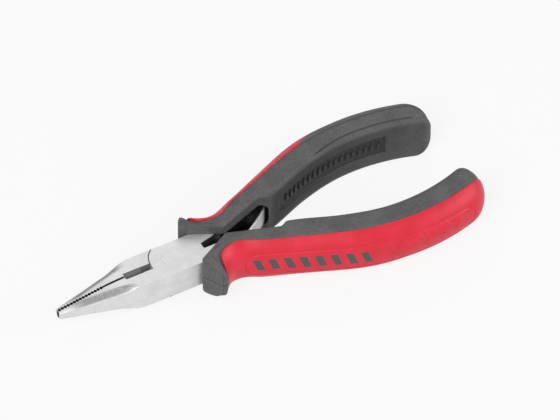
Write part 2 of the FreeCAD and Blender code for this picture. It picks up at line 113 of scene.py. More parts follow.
# The inlay: a skin over the bowed outside, with a sunk oval line and a zigzag near the heel.
INLAY_FRONT, INLAY_CORNER, INLAY_STAND = 9.5, 2.2, 0.4
INLAY_GAP, INLAY_EDGE, INLAY_DEPTH, INLAY_STEPS = 0.12, 0.28, 0.9, 105
OVAL_FRONT, OVAL_REAR, OVAL_HALF_HEIGHT, OVAL_GROOVE = 16.0, 76.0, 3.3, 0.24
ZIGZAG_START, ZIGZAG_END, ZIGZAG_PITCH = 50.0, 71.5, 4.3
ZIGZAG_MIDDLE, ZIGZAG_SWING, ZIGZAG_RELIEF = 1.1, 1.15, 0.34

# ---------------- steel sizes

JAW_REACH, JAW_JOIN = 33.0, -9.0
TIP_HALF_WIDTH, WIDTH_SLOPE, JOINT_HALF_WIDTH = 1.35, 0.18, 5.2
TIP_HALF_HEIGHT, HEIGHT_SLOPE, JOINT_HALF_HEIGHT = 1.25, 0.162, 3.85
CUTTER_FRONT, CUTTER_REAR, CUTTER_HALF_WIDTH, CUTTER_LAND = -14.0, -6.3, 1.05, 2.7
CUTTER_GAP, JAW_GAP = 0.03, 0.26
TOOTH_PITCH, TOOTH_COUNT, TOOTH_LOW, TOOTH_HEIGHT = 0.85, 15, 0.12, 0.40
TEETH_REAR = -20.2
GRIP_CHAMFER = 0.07
SHOULDER_FRONT, SHOULDER_REAR = -18.2, -11.0
HOLLOW_DIP = 0.42
PLATE_RADIUS = 6.32
EASED_EDGE = 0.13

LEAF_THICKNESS, LEAF_EDGE = 0.5, 0.08
LEAF_HALF_WIDTH, LEAF_TIP_HALF_WIDTH, LEAF_TIP_SHARE = 2.5, 2.1, 0.96
LEAF_ROOT_PLACES, LEAF_TIP, LEAF_SAG = (24.2, 20.0, 17.6), (30.05, 6.35), -0.75
FOLD_PLACE, FOLD_TANG_PLACE, FOLD_INSET, FOLD_RADIUS = 16.35, 16.54, 0.42, 0.33
FOLD_TURNS = (250, 215, 180, 150, 126)
LEG_DIRECTION, LEG_START = math.radians(36), 0.4


# ---------------- curves

def ease(value):
    """0 to 1 with a soft start and end."""
    value = np.clip(value, 0, 1)
    return value * value * (3 - 2 * value)


def ramp(value, start, end):
    """0 before start, 1 past end, soft between."""
    return float(ease((value - start) / (end - start)))


def rounding(share):
    """How far a unit quarter circle has fallen from its top."""
    return 1 - math.sqrt(max(1 - share ** 2, 0))


def crest_line(place, crest, offset, radius, splay):
    """Offset at a place of a straight run that leads into a bow."""
    lean = math.radians(splay)
    start = crest - radius * math.sin(lean)
    start_offset = offset - radius + radius * math.cos(lean)
    if place < start:
        return start_offset - (start - place) * math.tan(lean)
    return offset - radius + math.sqrt(max(radius ** 2 - (place - crest) ** 2, 0))


def mouth_line(place):
    """Offset of the straight inner face that runs back from the mouth."""
    return MOUTH[1] + (place - MOUTH[0]) * INNER_SLOPE


def tang_line(place, depth=TANG_WALL):
    """Offset of a line inside the grip, at a depth behind its inner face."""
    return mouth_line(place) + depth / math.cos(LEAN)


def smooth_through(place, knots):
    """Smooth curve through (place, offset) knots, with each knot's slope taken from its neighbours."""
    places, offsets = zip(*knots)
    slopes = np.gradient(offsets, places)
    index = int(np.clip(np.searchsorted(places, place) - 1, 0, len(places) - 2))
    width = places[index + 1] - places[index]
    share = (place - places[index]) / width
    a, b = offsets[index], offsets[index + 1]
    ma, mb = slopes[index] * width, slopes[index + 1] * width
    return ((2 * share ** 3 - 3 * share ** 2 + 1) * a + (share ** 3 - 2 * share ** 2 + share) * ma
            + (3 * share ** 2 - 2 * share ** 3) * b + (share ** 3 - share ** 2) * mb)


def bow_knots(line):
    """Knots where a collar's outline passes into a bow."""
    return [(place, crest_line(place, *line)) for place in (SHOULDER, INNER_JOIN, KNOTS_END)]


OUTER_KNOTS = [(3.4, 12.2), (8.0, 12.2), (9.2, 11.8), (10.6, 10.5), (12.4, 9.2),
               (15.0, 8.7)] + bow_knots(BACK_LINE)
SEAM_KNOTS = [(3.4, 6.4), (7.2, 6.4), (11.1, 5.88), (15.0, 5.1)] + bow_knots(SEAM_LINE)


def inner_offset(place):
    """Offset of a grip's inner face: straight, then stepped out under the fingers."""
    hand = crest_line(place, *HAND_LINE) - PALM_STEP * (1 - ramp(place, PALM_FRONT, PALM_REAR))
    share = ramp(place, STEP_START, INNER_JOIN)
    return mouth_line(place) * (1 - share) + hand * share


def outer_offset(place):
    """Offset of a grip's outside."""
    return smooth_through(place, OUTER_KNOTS) if place < INNER_JOIN else crest_line(place, *BACK_LINE)


def seam_offset(place):
    """Offset of the seam on top, where the bowed outside starts."""
    return smooth_through(place, SEAM_KNOTS) if place < INNER_JOIN else crest_line(place, *SEAM_LINE)


def heel(place, end=HEEL_PLACE):
    """How far the heel's rounding has drawn the section in at a place."""
    return HEEL_EASE * rounding(np.clip((place - end + HEEL_LENGTH) / HEEL_LENGTH, 0, 1))


def heel_places(end, count):
    """Places through the heel, closer together towards its end."""
    return [end - HEEL_LENGTH + HEEL_LENGTH * math.sin(turn) for turn in np.linspace(0, QUARTER, count)]


def fullness(place):
    """How far the bowed part stands beyond a plain arc, halfway up it."""
    return SWELL * ramp(place, *SWELL_RUN) - SWELL_LOST * ramp(place, *SWELL_LOST_RUN)


def bow(place, drawn):
    """Outside, half height, radius and centre of the bowed part of a section, and its bulge."""
    outside = outer_offset(place) - drawn
    half = HALF_HEIGHT - drawn * HEEL_LIFT
    bulge = max(outside - seam_offset(place) + drawn * HEEL_SEAM, LEAST_BULGE)
    radius = (half ** 2 + bulge ** 2) / (2 * bulge)
    return outside, half, radius, outside - radius, bulge


# ---------------- meshes

def section(place, sink=0.0, inner=None, rim=0.0):
    """Points (y, z) of the upper half of a D section, from the inner face's middle to the outer face's.

    sink lowers the bowed part, to leave room for the inlay on it, inner sets the inner face's offset,
    and rim is the depth of a line along the rolled edge. Also returns the index of the point where the
    bowed part starts.
    """
    drawn = heel(place, SHELL_END)
    inside = (inner_offset(place) if inner is None else inner) + drawn
    outside, half, radius, centre, _ = bow(place, drawn)
    scale = half / HALF_HEIGHT
    rolled = ramp(place, *ROLL_RUN)
    gone = drawn / HEEL_EASE
    least = 0.7 * min(half, (outside - inside) / 2)
    across = (EDGE_ROUND + ROLL_ACROSS * rolled) * (1 - gone) + least * gone
    down = (EDGE_ROUND + ROLL_DOWN * rolled) * (1 - gone) + least * gone
    corner = TOP_CORNER * scale
    points = [(inside, (half - down) * share) for share in np.linspace(0, 1, WALL_STEPS, endpoint=False)]
    for turn in np.linspace(0, QUARTER, EDGE_STEPS, endpoint=False):
        groove = rim * scale * ramp(place, *RIM_RUN) * math.exp(-((turn - RIM_TURN) / RIM_WIDTH) ** 2)
        points.append((inside + across * (1 - math.cos(turn)), half - down - groove + down * math.sin(turn)))
    low_radius = radius - sink
    corner_y = centre + math.sqrt(max((low_radius - corner) ** 2 - (half - corner) ** 2, 0.01))
    turn_end = math.atan2(half - corner, corner_y - centre)
    start_y = inside + across
    points += [(start_y + (corner_y - start_y) * share, half)
               for share in np.linspace(0, 1, TOP_STEPS, endpoint=False)]
    bow_start = len(points)
    points += [(corner_y + corner * math.cos(turn), half - corner + corner * math.sin(turn))
               for turn in np.linspace(QUARTER, turn_end, CORNER_STEPS, endpoint=False)]
    for turn in np.linspace(turn_end, 0, BOW_STEPS):
        swell = fullness(place) * scale * math.sin(math.pi * min(turn / turn_end, 1)) ** 2
        points.append((centre + (low_radius + swell) * math.cos(turn), (low_radius + swell) * math.sin(turn)))
    return np.array(points), bow_start


def square_up(points, bow_start, amount):
    """Push the bowed part of the guard's section out to an upright wall with sloping shoulders."""
    outside, seam = points[-1][0], points[bow_start][0]
    for point in points[bow_start:]:
        slope = max(abs(point[1]) - GUARD_WALL, 0) / (HALF_HEIGHT - GUARD_WALL)
        wall = outside - (outside - seam) * slope
        point[0] += (max(wall, point[0]) - point[0]) * amount * GUARD_SQUARENESS


def ring(points):
    """Close an upper half into a whole ring, its lower half mirrored."""
    lower = points[-2:0:-1] * np.array([1, -1])
    return np.vstack([points, lower])


def to_frame(points, side):
    """Millimetres from the pivot to metres in the frame, on the front (+1) or rear (-1) side."""
    points = np.asarray(points, float).reshape(-1, 3)
    return np.column_stack([points[:, 0] * MM + PIVOT.x, points[:, 1] * side * MM + PIVOT.y,
                            points[:, 2] * MM + PIVOT.z])


def add_object(name, data):
    """A new object in the scene."""
    thing = bpy.data.objects.new(name, data)
    bpy.context.scene.collection.objects.link(thing)
    return thing


def worked_mesh(thing):
    """A new mesh of an object with its modifiers worked in."""
    return bpy.data.meshes.new_from_object(thing.evaluated_get(bpy.context.evaluated_depsgraph_get()))


def smooth_mesh(mesh, sharp_from):
    """Smooth shading, with sharp edges from an angle in degrees."""
    mesh.polygons.foreach_set("use_smooth", [True] * len(mesh.polygons))
    mesh.set_sharp_from_angle(angle=math.radians(sharp_from))


def make_mesh(name, points, faces, side=1, sharp_from=SHARP_FROM):
    """A mesh object in place, its faces turned outwards."""
    mesh = bpy.data.meshes.new(name)
    mesh.from_pydata(to_frame(points, side).tolist(), [], faces)
    bm = bmesh.new()
    bm.from_mesh(mesh)
    bmesh.ops.remove_doubles(bm, verts=bm.verts, dist=ONE_SPOT)
    bmesh.ops.dissolve_degenerate(bm, dist=ONE_SPOT / 10, edges=bm.edges)
    bmesh.ops.recalc_face_normals(bm, faces=bm.faces)
    bm.to_mesh(mesh)
    bm.free()
    smooth_mesh(mesh, sharp_from)
    return add_object(name, mesh)


def grid_faces(rows, columns, closed=True, start=0):
    """Quads between rows of points."""
    faces = []
    for row in range(rows - 1):
        for column in range(columns if closed else columns - 1):
            after = (column + 1) % columns
            a, b = start + row * columns, start + (row + 1) * columns
            faces.append((a + column, a + after, b + after, b + column))
    return faces


def close_end(points, faces, start, columns, wall=WALL_STEPS):
    """Close a ring, its second half mirroring its first, with rungs from the inner wall to the outside."""
    half = columns // 2
    before = [start + column % columns for column in range(wall, -wall - 1, -1)]
    for column in range(wall + 1, half + 1):
        upper, lower = start + column, start + (columns - column) % columns
        if upper == lower:
            line = [upper] * len(before)
        else:
            a, b = np.array(points[upper]), np.array(points[lower])
            line = [upper]
            for share in np.linspace(0, 1, len(before))[1:-1]:
                points.append(tuple(a + (b - a) * share))
                line.append(len(points) - 1)
            line.append(lower)
        for step in range(len(before) - 1):
            face = list(dict.fromkeys([before[step], before[step + 1], line[step + 1], line[step]]))
            if len(face) > 2:
                faces.append(tuple(face))
        before = line


# ---------------- grips

def front_line(share):
    """The collar's front edge seen from above: from the mouth out to the corner and on to the guard."""
    corner = (COLLAR_CORNER[1] - MOUTH[1]) / (GUARD[1] - MOUTH[1])
    a, b, t = (MOUTH, COLLAR_CORNER, share / corner) if share < corner else (
        COLLAR_CORNER, GUARD, (share - corner) / (1 - corner))
    return np.array([a[0] + (b[0] - a[0]) * t, a[1] + (b[1] - a[1]) * t])


def inner_face_relief(place, height):
    """How far the inner face is sunk, in a long panel for the fingers with a round front end."""
    height = abs(height)
    round_front = PANEL_FRONT + PANEL_HALF_HEIGHT * rounding(min(height / PANEL_HALF_HEIGHT, 1))
    inside = min(place - round_front, PANEL_REAR - place, PANEL_HALF_HEIGHT - height)
    return PANEL_DEPTH * ramp(inside, -PANEL_EDGE, PANEL_EDGE)


def collar_underside(height, share):
    """How far the collar's front edge is rounded back towards its underside."""
    low = min(max((-height - UNDERSIDE_START) / UNDERSIDE_DEPTH, 0), 1)
    return UNDERSIDE_ROUND * rounding(low) * min(max(share, 0) * 5, 1)


def collar_row(step):
    """One ring of the collar, at a share of the way from its front edge back to the plain grip."""
    outer_place = GUARD[0] + (COLLAR_REAR - GUARD[0]) * step
    inner_place = MOUTH[0] + (COLLAR_REAR - MOUTH[0]) * step
    half_section, bow_start = section(outer_place, INLAY_STAND if outer_place > INLAY_FRONT else 0.0,
                                      inner=mouth_line(inner_place))
    square_up(half_section, bow_start, 1 - ramp(outer_place, *GUARD_FADE))
    inside, outside = half_section[0][0], half_section[-1][0]
    bevel = COLLAR_BEVEL * rounding(1 - min(step / BEVEL_LENGTH, 1))
    row = []
    for y, z in ring(half_section):
        share = min(max((y - inside) / (outside - inside), 0), 1)
        straight = (1 - share) * np.array([inner_place, mouth_line(inner_place)]) \
            + share * np.array([outer_place, outside])
        kink = front_line(share) - ((1 - share) * np.array(MOUTH) + share * np.array(GUARD))
        spot = straight + kink * (1 - step) ** 1.5
        spot[0] += collar_underside(z, share) * (1 - step) ** 6
        row.append((spot[0], spot[1] - bevel * share ** 8, z * (1 - bevel / HALF_HEIGHT)))
    return row


def grip_row(place, side):
    """One ring of the grip behind its collar, with the finger panel sunk into its inner face."""
    flat = ring(section(place, INLAY_STAND, rim=RIM_DEPTH if side > 0 else 0.0)[0])
    inside = flat[0][0]
    row = []
    for y, z in flat:
        nearness = 1 - ramp(y - inside, 0, 0.5)
        sunk = inner_face_relief(place, z) * nearness if place < HEEL_PLACE - 1 else 0
        row.append((place, y + sunk, z))
    return row


def grip_shell(name, side):
    """The hard grey moulding of one grip."""
    places = list(np.arange(COLLAR_REAR, SHELL_END - HEEL_LENGTH, 0.26)) + heel_places(SHELL_END, 26)
    steps = np.concatenate([np.linspace(0, 0.05, 5), np.linspace(0.05, 1, 70)[1:-1]])
    rows = [collar_row(step) for step in steps] + [grip_row(place, side) for place in places]
    columns = len(rows[0])
    points = [point for row in rows for point in row]
    faces = grid_faces(len(rows), columns)
    close_end(points, faces, (len(rows) - 1) * columns, columns)
    front_start = len(points)
    close_end(points, faces, 0, columns)
    for index in range(front_start, len(points)):
        _, y, z = points[index]
        share = (y - MOUTH[1]) / (GUARD[1] - MOUTH[1])
        straight = front_line(min(max(share, 0), 1))[0]
        points[index] = (straight + collar_underside(z, share), y, z)
    return make_mesh(name, points, faces, side)


def prism(name, outline, half_height, side):
    """A straight block on an outline seen from above, for cutting."""
    count = len(outline)
    points = [(x, y, -half_height) for x, y in outline] + [(x, y, half_height) for x, y in outline]
    faces = [tuple(range(count)), tuple(range(count, 2 * count))]
    faces += [(i, (i + 1) % count, count + (i + 1) % count, count + i) for i in range(count)]
    return make_mesh(name, points, faces, side)


def cut_away(thing, cutters):
    """Take the cutters out of a mesh and drop them."""
    for cutter in cutters:
        modifier = thing.modifiers.new("cut", "BOOLEAN")
        modifier.operation = "DIFFERENCE"
        modifier.solver = "EXACT"
        modifier.object = cutter
    result = worked_mesh(thing)
    thing.modifiers.clear()
    old = thing.data
    thing.data = result
    bpy.data.meshes.remove(old)
    for cutter in cutters:
        bpy.data.objects.remove(cutter)
    smooth_mesh(result, SHARP_FROM)
    return thing


def pocket_half_height(place):
    """Half height of the spring pocket: square, then rounded at its rear end."""
    past = max(place - POCKET_REAR + POCKET_ROUND, 0)
    return POCKET_HALF_HEIGHT - POCKET_ROUND + math.sqrt(max(POCKET_ROUND ** 2 - past ** 2, 0.01))


def spring_room(side):
    """The block that the spring pocket leaves empty."""
    places = [POCKET_FRONT, POCKET_DEEP_END]
    places += [POCKET_REAR - POCKET_ROUND * (1 - math.sin(turn)) for turn in np.linspace(0, QUARTER, 15)]
    floor_end = tang_line(POCKET_DEEP_END)
    points = []
    for place in places:
        share = (place - POCKET_DEEP_END) / (POCKET_REAR - POCKET_DEEP_END)
        deep = tang_line(place) if share <= 0 else floor_end + (POCKET_REAR_DEPTH - floor_end) * share
        half = pocket_half_height(place)
        points += [(place, -POCKET_REACH, -half), (place, deep, -half), (place, deep, half),
                   (place, -POCKET_REACH, half)]
    faces = grid_faces(len(places), 4) + [(0, 1, 2, 3), tuple(range(len(points) - 4, len(points)))]
    return make_mesh("spring_room", points, faces, side)


def grip_cutters(side):
    """Room for the joint's plates, the spring pocket and the tang."""
    reach = math.sqrt(JOINT_ROOM_RADIUS ** 2 - JOINT_ROOM_HALF_WIDTH ** 2)
    arc_end = math.atan2(JOINT_ROOM_HALF_WIDTH, reach)
    arc = [(JOINT_ROOM_RADIUS * math.cos(turn), JOINT_ROOM_RADIUS * math.sin(turn))
           for turn in np.linspace(-arc_end, arc_end, 33)]
    joint = prism("joint_room", [(0, -JOINT_ROOM_HALF_WIDTH), *arc, (0, JOINT_ROOM_HALF_WIDTH)],
                  JOINT_ROOM_HALF_HEIGHT, side)
    spring = spring_room(side)
    inner_side = [(POCKET_FRONT, 1.0)] + [(place, tang_line(place)) for place in (TANG_BEND, TANG_END)]
    outer_side = [(place, tang_line(place, TANG_BACK)) for place in (TANG_END, TANG_BEND)]
    tang = prism("tang_room", inner_side + outer_side + [(POCKET_FRONT, 5.2)], TANG_HALF_HEIGHT, side)
    return [joint, spring, tang]


def inlay_relief(place, height):
    """Height of the inlay's surface over its plain skin: a sunk oval line, and a zigzag near the heel."""
    radius = OVAL_HALF_HEIGHT
    middle = min(max(place, OVAL_FRONT + radius), OVAL_REAR - radius)
    edge = math.hypot(place - middle, height) - radius
    groove = -OVAL_GROOVE * math.exp(-(edge / OVAL_GROOVE) ** 2)
    if not ZIGZAG_START < place < ZIGZAG_END:
        return groove
    wave = abs(((place - ZIGZAG_START) / ZIGZAG_PITCH) % 1 - 0.5) * 4 - 1
    away = abs(height - ZIGZAG_MIDDLE - wave * ZIGZAG_SWING)
    away /= math.hypot(1, 4 * ZIGZAG_SWING / ZIGZAG_PITCH)
    zigzag = ZIGZAG_RELIEF * (1 - ramp(away, 0.105, 0.525)) * ramp(-edge, 0.5, 0.8)
    zigzag *= ramp(place, ZIGZAG_START, ZIGZAG_START + 0.5) * (1 - ramp(place, ZIGZAG_END - 0.5, ZIGZAG_END))
    return groove + zigzag


def inlay_rows(place, last):
    """The outer and the inner row of points of the inlay at a place; the last inner row closes the skin."""
    _, half, radius, centre, bulge = bow(place, heel(place))
    limit = math.asin(min(half / radius, 1)) if bulge < radius else math.pi - math.asin(half / radius)
    from_front = place - INLAY_FRONT
    limit -= (INLAY_CORNER * rounding(1 - min(from_front / INLAY_CORNER, 1)) + INLAY_GAP) / radius
    outer_row, inner_row = [], []
    for share in np.linspace(-1, 1, INLAY_STEPS):
        turn = limit * share
        edge = (1 - abs(share)) * limit * radius
        round_off = INLAY_EDGE * (rounding(1 - min(edge / INLAY_EDGE, 1))
                                  + rounding(1 - min(from_front / 0.3, 1)))
        swell = fullness(place) * half / HALF_HEIGHT * math.sin(math.pi * abs(share)) ** 2
        high = radius + inlay_relief(place, radius * math.sin(turn)) + swell - round_off
        low = radius - (radius * 0.97 if last else min(INLAY_DEPTH - swell, radius * 0.5))
        outer_row.append((place, centre + high * math.cos(turn), high * math.sin(turn)))
        inner_row.append((place, centre + low * math.cos(turn * 0.97), low * math.sin(turn * 0.97)))
    return outer_row, inner_row


def inlay_skin(name, side):
    """The soft inlay: a skin over the bowed outside of a grip, from behind the guard round to the heel."""
    places = [INLAY_FRONT + INLAY_CORNER * (1 - math.cos(turn)) for turn in np.linspace(0, QUARTER, 16)]
    places += list(np.arange(places[-1] + 0.24, HEEL_PLACE - HEEL_LENGTH, 0.24))
    places += heel_places(HEEL_PLACE, 24)
    outer_rows, inner_rows = zip(*[inlay_rows(place, place >= places[-1]) for place in places])
    rows, across = len(places), INLAY_STEPS
    points = [point for row in outer_rows + inner_rows for point in row]
    back = rows * across
    faces = grid_faces(rows, across, closed=False) + grid_faces(rows, across, closed=False, start=back)
    ends = [(row * across + column, (row + 1) * across + column)
            for row in range(rows - 1) for column in (0, across - 1)]
    ends += [(row * across + column, row * across + column + 1)
             for column in range(across - 1) for row in (0, rows - 1)]
    faces += [(a, b, back + b, back + a) for a, b in ends]
    return make_mesh(name, points, faces, side, sharp_from=50)


# ---------------- finishes

class Socket:
    """A shader value that takes part in arithmetic."""

    def __init__(self, tree, output):
        self.tree, self.output = tree, output

    def node(self, kind, settings=None, inputs=None, output=0):
        """Any node: its type, its settings, its socket values or links, and which output to hand back."""
        node = self.tree.nodes.new(kind)
        for key, value in (settings or {}).items():
            setattr(node, key, value)
        for key, value in (inputs or {}).items():
            socket = node.inputs[key]
            if isinstance(value, Socket):
                self.tree.links.new(value.output, socket)
            else:
                socket.default_value = value
        return Socket(self.tree, node.outputs[output])

    def maths(self, operation, *values):
        """A maths node on values in their order, or on this one alone."""
        return self.node("ShaderNodeMath", {"operation": operation}, dict(enumerate(values or (self,))))

    def __add__(self, other): return self.maths("ADD", self, other)
    def __radd__(self, other): return self.maths("ADD", other, self)
    def __sub__(self, other): return self.maths("SUBTRACT", self, other)
    def __rsub__(self, other): return self.maths("SUBTRACT", other, self)
    def __mul__(self, other): return self.maths("MULTIPLY", self, other)
    def __rmul__(self, other): return self.maths("MULTIPLY", other, self)
    def __truediv__(self, other): return self.maths("DIVIDE", self, other)
    def __rtruediv__(self, other): return self.maths("DIVIDE", other, self)

    def size(self): return self.maths("ABSOLUTE")
    def root(self): return self.maths("SQRT")
    def past_whole(self): return self.maths("FRACT")
    def most(self, other): return self.maths("MAXIMUM", self, other)

    def band(self, low, high):
        """0 below low, 1 above high, soft between."""
        return self.node("ShaderNodeMapRange", {"interpolation_type": "SMOOTHSTEP"},
                         {"Value": self, "From Min": low, "From Max": high})

    def outside(self, low, high):
        """1 below low, 0 above high, soft between."""
        return 1 - self.band(low, high)

    def mix(self, a, b):
        """Colour a where this is 0, b where it is 1."""
        return self.node("ShaderNodeMix", {"data_type": "RGBA"}, {"Factor": self, "A": a, "B": b}, output=2)


def grey(value):
    """A neutral colour."""
    return (value, value, value, 1)


# Painted shade for steel: one tone for the cutter bevels and shoulder hollows, a near black for seams, the
# gaps between the jaws and the tangs inside the grips.
STEEL_TONES, STEEL_SHADE_TONE, SEAM_AND_SHADE_TONE = (grey(0.67), grey(0.84)), grey(0.15), grey(0.010)
LEAF_TONES = ((0.42, 0.42, 0.43, 1), (0.58, 0.58, 0.59, 1))
GREY_TONES = ((0.078, 0.078, 0.080, 1), (0.140, 0.140, 0.143, 1))
SHADE_TONE, POCKET_TONE = grey(0.025), grey(0.008)
RED_TONES = ((0.67, 0.018, 0.038, 1), (0.77, 0.028, 0.056, 1))
BAR_TONE = (0.085, 0.082, 0.085, 1)
WRAP_TONES = ((0.090, 0.090, 0.092, 1), (0.128, 0.128, 0.131, 1))


def finish_of(name, **constants):
    """A new material's shader, and Object coordinates in millimetres from the pivot, whole and by axis."""
    material = bpy.data.materials.new(name)
    material.use_nodes = True
    tree = material.node_tree
    shader = tree.nodes["Principled BSDF"]
    for key, value in constants.items():
        shader.inputs[key.replace("_", " ")].default_value = value
    start = Socket(tree, shader.outputs[0])
    coordinates = start.node("ShaderNodeTexCoord", output=3)
    spot = start.node("ShaderNodeVectorMath", {"operation": "SUBTRACT"}, {0: coordinates, 1: PIVOT})
    spot = start.node("ShaderNodeVectorMath", {"operation": "SCALE"}, {0: spot, "Scale": 1 / MM})
    axes = [start.node("ShaderNodeSeparateXYZ", inputs={0: spot}, output=axis) for axis in range(3)]
    return material, shader, spot, axes


def feed(shader, **links):
    """Link values to a shader's sockets by name."""
    tree = shader.id_data
    for key, value in links.items():
        tree.links.new(value.output, shader.inputs[key.replace("_", " ")])


def noise(spot, scale, stretch=(1, 1, 1), detail=3.0, rough=0.55):
    placed = spot.node("ShaderNodeMapping", inputs={"Vector": spot, "Scale": stretch})
    return spot.node("ShaderNodeTexNoise", inputs={
        "Vector": placed, "Scale": scale, "Detail": detail, "Roughness": rough})


def bump(height, strength, distance):
    """A bumped normal; the distance is in metres."""
    return height.node("ShaderNodeBump", inputs={"Height": height, "Strength": strength,
                                                 "Distance": distance})


def ground_steel():
    """Satin ground steel: fine lengthwise streaks and dark seams, with painted shade on the cutter, the
    gripping faces, where the steel runs into the grips and on the tangs, and a painted dark reflection along
    each jaw's shoulder hollow.
    """
    material, shader, spot, (x, y, z) = finish_of("ground_steel", Specular_IOR_Level=0.5)
    streaks = noise(spot, 1.0, (0.5, 7.0, 7.0), detail=5)
    cloud, grain = noise(spot, 0.16, detail=4), noise(spot, 9.0, detail=2)
    reflection_mottle = noise(spot, 1.0, (5.0, 0.5, 0.5), detail=4)
    tone = streaks * 0.5 + cloud * 0.5
    off, tall, from_tip = y.size(), z.size(), x + JAW_REACH

    # The line where the round edge of the upper plate meets the other half.
    from_edge = ((x * x + y * y).root() - PLATE_RADIUS).size()
    own_side = (y * z).band(0.2, 1.2) * tall.band(3.5, 3.7)
    seam = from_edge.outside(0.10, 0.18) * x.outside(-1.5, -1.0) * own_side

    # Painted shade over the cutter's bevels.
    cutter = off.outside(CUTTER_HALF_WIDTH, CUTTER_HALF_WIDTH + 0.06)
    cutter = cutter * x.band(CUTTER_FRONT - 0.06, CUTTER_FRONT) * x.outside(CUTTER_REAR - 0.1, CUTTER_REAR)

    # Painted shade on the gripping faces, in the gap between the jaws: a wave of teeth, then a plain gap to
    # the cutter.
    wave = 1 - (((from_tip / TOOTH_PITCH).past_whole() - 0.5) * 2).size()
    plain = x.band(TEETH_REAR - 0.1, TEETH_REAR)
    reach = (wave * TOOTH_HEIGHT + TOOTH_LOW + 0.01) * (1 - plain) + plain * (JAW_GAP + 0.02)
    teeth = (off - reach).outside(0.0, 0.05) * x.outside(CUTTER_FRONT - 0.2, CUTTER_FRONT)
    # Painted shade where the steel runs into the grips, and on the tangs inside them.
    crotch = tall.outside(3.66, 3.74) * x.band(8.1, 8.25)
    tang = x.band(12.0, 13.2)

    # Painted dark reflection in the hollow along a jaw's shoulder, mottled by noise.
    inset = from_tip * WIDTH_SLOPE + TIP_HALF_WIDTH - off
    rise = tall / (from_tip * HEIGHT_SLOPE + TIP_HALF_HEIGHT)
    hollow = inset.band(0.0, 0.5) * inset.outside(1.3, 2.4) * rise.band(0.5, 0.75)
    hollow = hollow * x.band(-31.5, -25.5) * x.outside(-15.5, -11.8)

    # Dark seams, and painted shade on the gripping faces, where the steel runs into the grips and on the
    # tangs.
    dark = seam.most(teeth).most(crotch).most(tang)
    colour = tone.band(0.3, 0.7).mix(*STEEL_TONES)
    colour = (hollow * (reflection_mottle * 0.75 + 0.35)).mix(colour, STEEL_SHADE_TONE)
    colour = dark.mix(cutter.mix(colour, STEEL_SHADE_TONE), SEAM_AND_SHADE_TONE)
    feed(shader, Base_Color=colour, Roughness=tone * 0.16 + grain * 0.05 + 0.42,
         Metallic=0.7 - dark.most(cutter) * 0.6,
         Normal=bump(streaks + grain * 0.6, 0.25, 0.00004))
    return material


def leaf_steel():
    """Bright rolled spring steel."""
    material, shader, spot, _ = finish_of("leaf_steel", Metallic=0.9, Specular_IOR_Level=0.5)
    streaks = noise(spot, 1.2, (0.3, 0.3, 8.0), detail=4)
    feed(shader, Base_Color=streaks.band(0.3, 0.7).mix(*LEAF_TONES), Roughness=streaks * 0.2 + 0.26,
         Normal=bump(streaks, 0.2, 0.00003))
    return material


def grey_moulding():
    """Hard grey plastic with a fine moulded grain: a mould line round the collar, painted shade on the palm
    and finger panel and in the line along the rolled edge, and a painted unlit spring pocket."""
    material, shader, spot, (x, y, z) = finish_of("grey_moulding", Specular_IOR_Level=0.25)
    grain, cloud = noise(spot, 5.5, detail=3, rough=0.6), noise(spot, 0.22, detail=3)
    speckle = noise(spot, 2.3, detail=2, rough=0.7)
    off, tall = y.size(), z.size()
    line = tall.outside(0.07, 0.2) * x.outside(9.0, 9.6)

    # Depth behind the inner face, which is taken as a parabola along the hand's bow.
    from_crest = x - HAND_LINE[0]
    depth = off - (HAND_LINE[1] - from_crest * from_crest / (2 * HAND_LINE[2]))
    # Painted shade: on the sunk finger panel, on the palm part of the inner face, fading towards the heel,
    # and in the line along the front grip's rolled edge.
    panel = x.band(PANEL_FRONT, PANEL_FRONT + 1) * x.outside(PANEL_REAR - 0.2, PANEL_REAR)
    panel = panel * tall.outside(PANEL_HALF_HEIGHT - 0.2, PANEL_HALF_HEIGHT) * depth.outside(1.2, 2.2)
    palm = depth.outside(0.15, 0.9) * x.band(30.0, 31.0) * tall.outside(4.9, 5.9)
    palm = palm * (0.90 - x.band(34.0, 80.0) * 0.62)
    rim = (depth - (x.band(45.0, 58.0) * 1.21 + 0.57)).size().outside(0.12, 0.34)
    rim = rim * x.band(46.0, 50.0) * x.outside(75.5, 77.5) * y.band(0, 1) * tall.band(5.6, 6.0)

    # The spring pocket, painted as unlit shade, with the rounded rear end that the shell has.
    wall = (x - MOUTH[0]) * INNER_SLOPE + 2.9
    past = (x - (POCKET_REAR - POCKET_ROUND)).most(0.0)
    above = (tall - (POCKET_HALF_HEIGHT - POCKET_ROUND)).most(0.0)
    arch = (past * past + above * above).root()
    pocket = arch.outside(POCKET_ROUND, POCKET_ROUND + 0.06) * x.band(7.5, 9.5) * (off - wall).outside(0, 0.1)

    dark = (line * 0.7).most(panel * 0.8).most(palm).most(rim * 0.62)
    colour = (grain * 0.2 + cloud * 0.3 + speckle * 0.5).band(0.34, 0.66).mix(*GREY_TONES)
    colour = pocket.mix(dark.mix(colour, SHADE_TONE), POCKET_TONE)
    feed(shader, Base_Color=colour, Roughness=grain * 0.14 + 0.50,
         Normal=bump(grain + cloud * 0.5 + speckle * 1.5 - line * 2.0, 0.35, 0.00006))
    return material


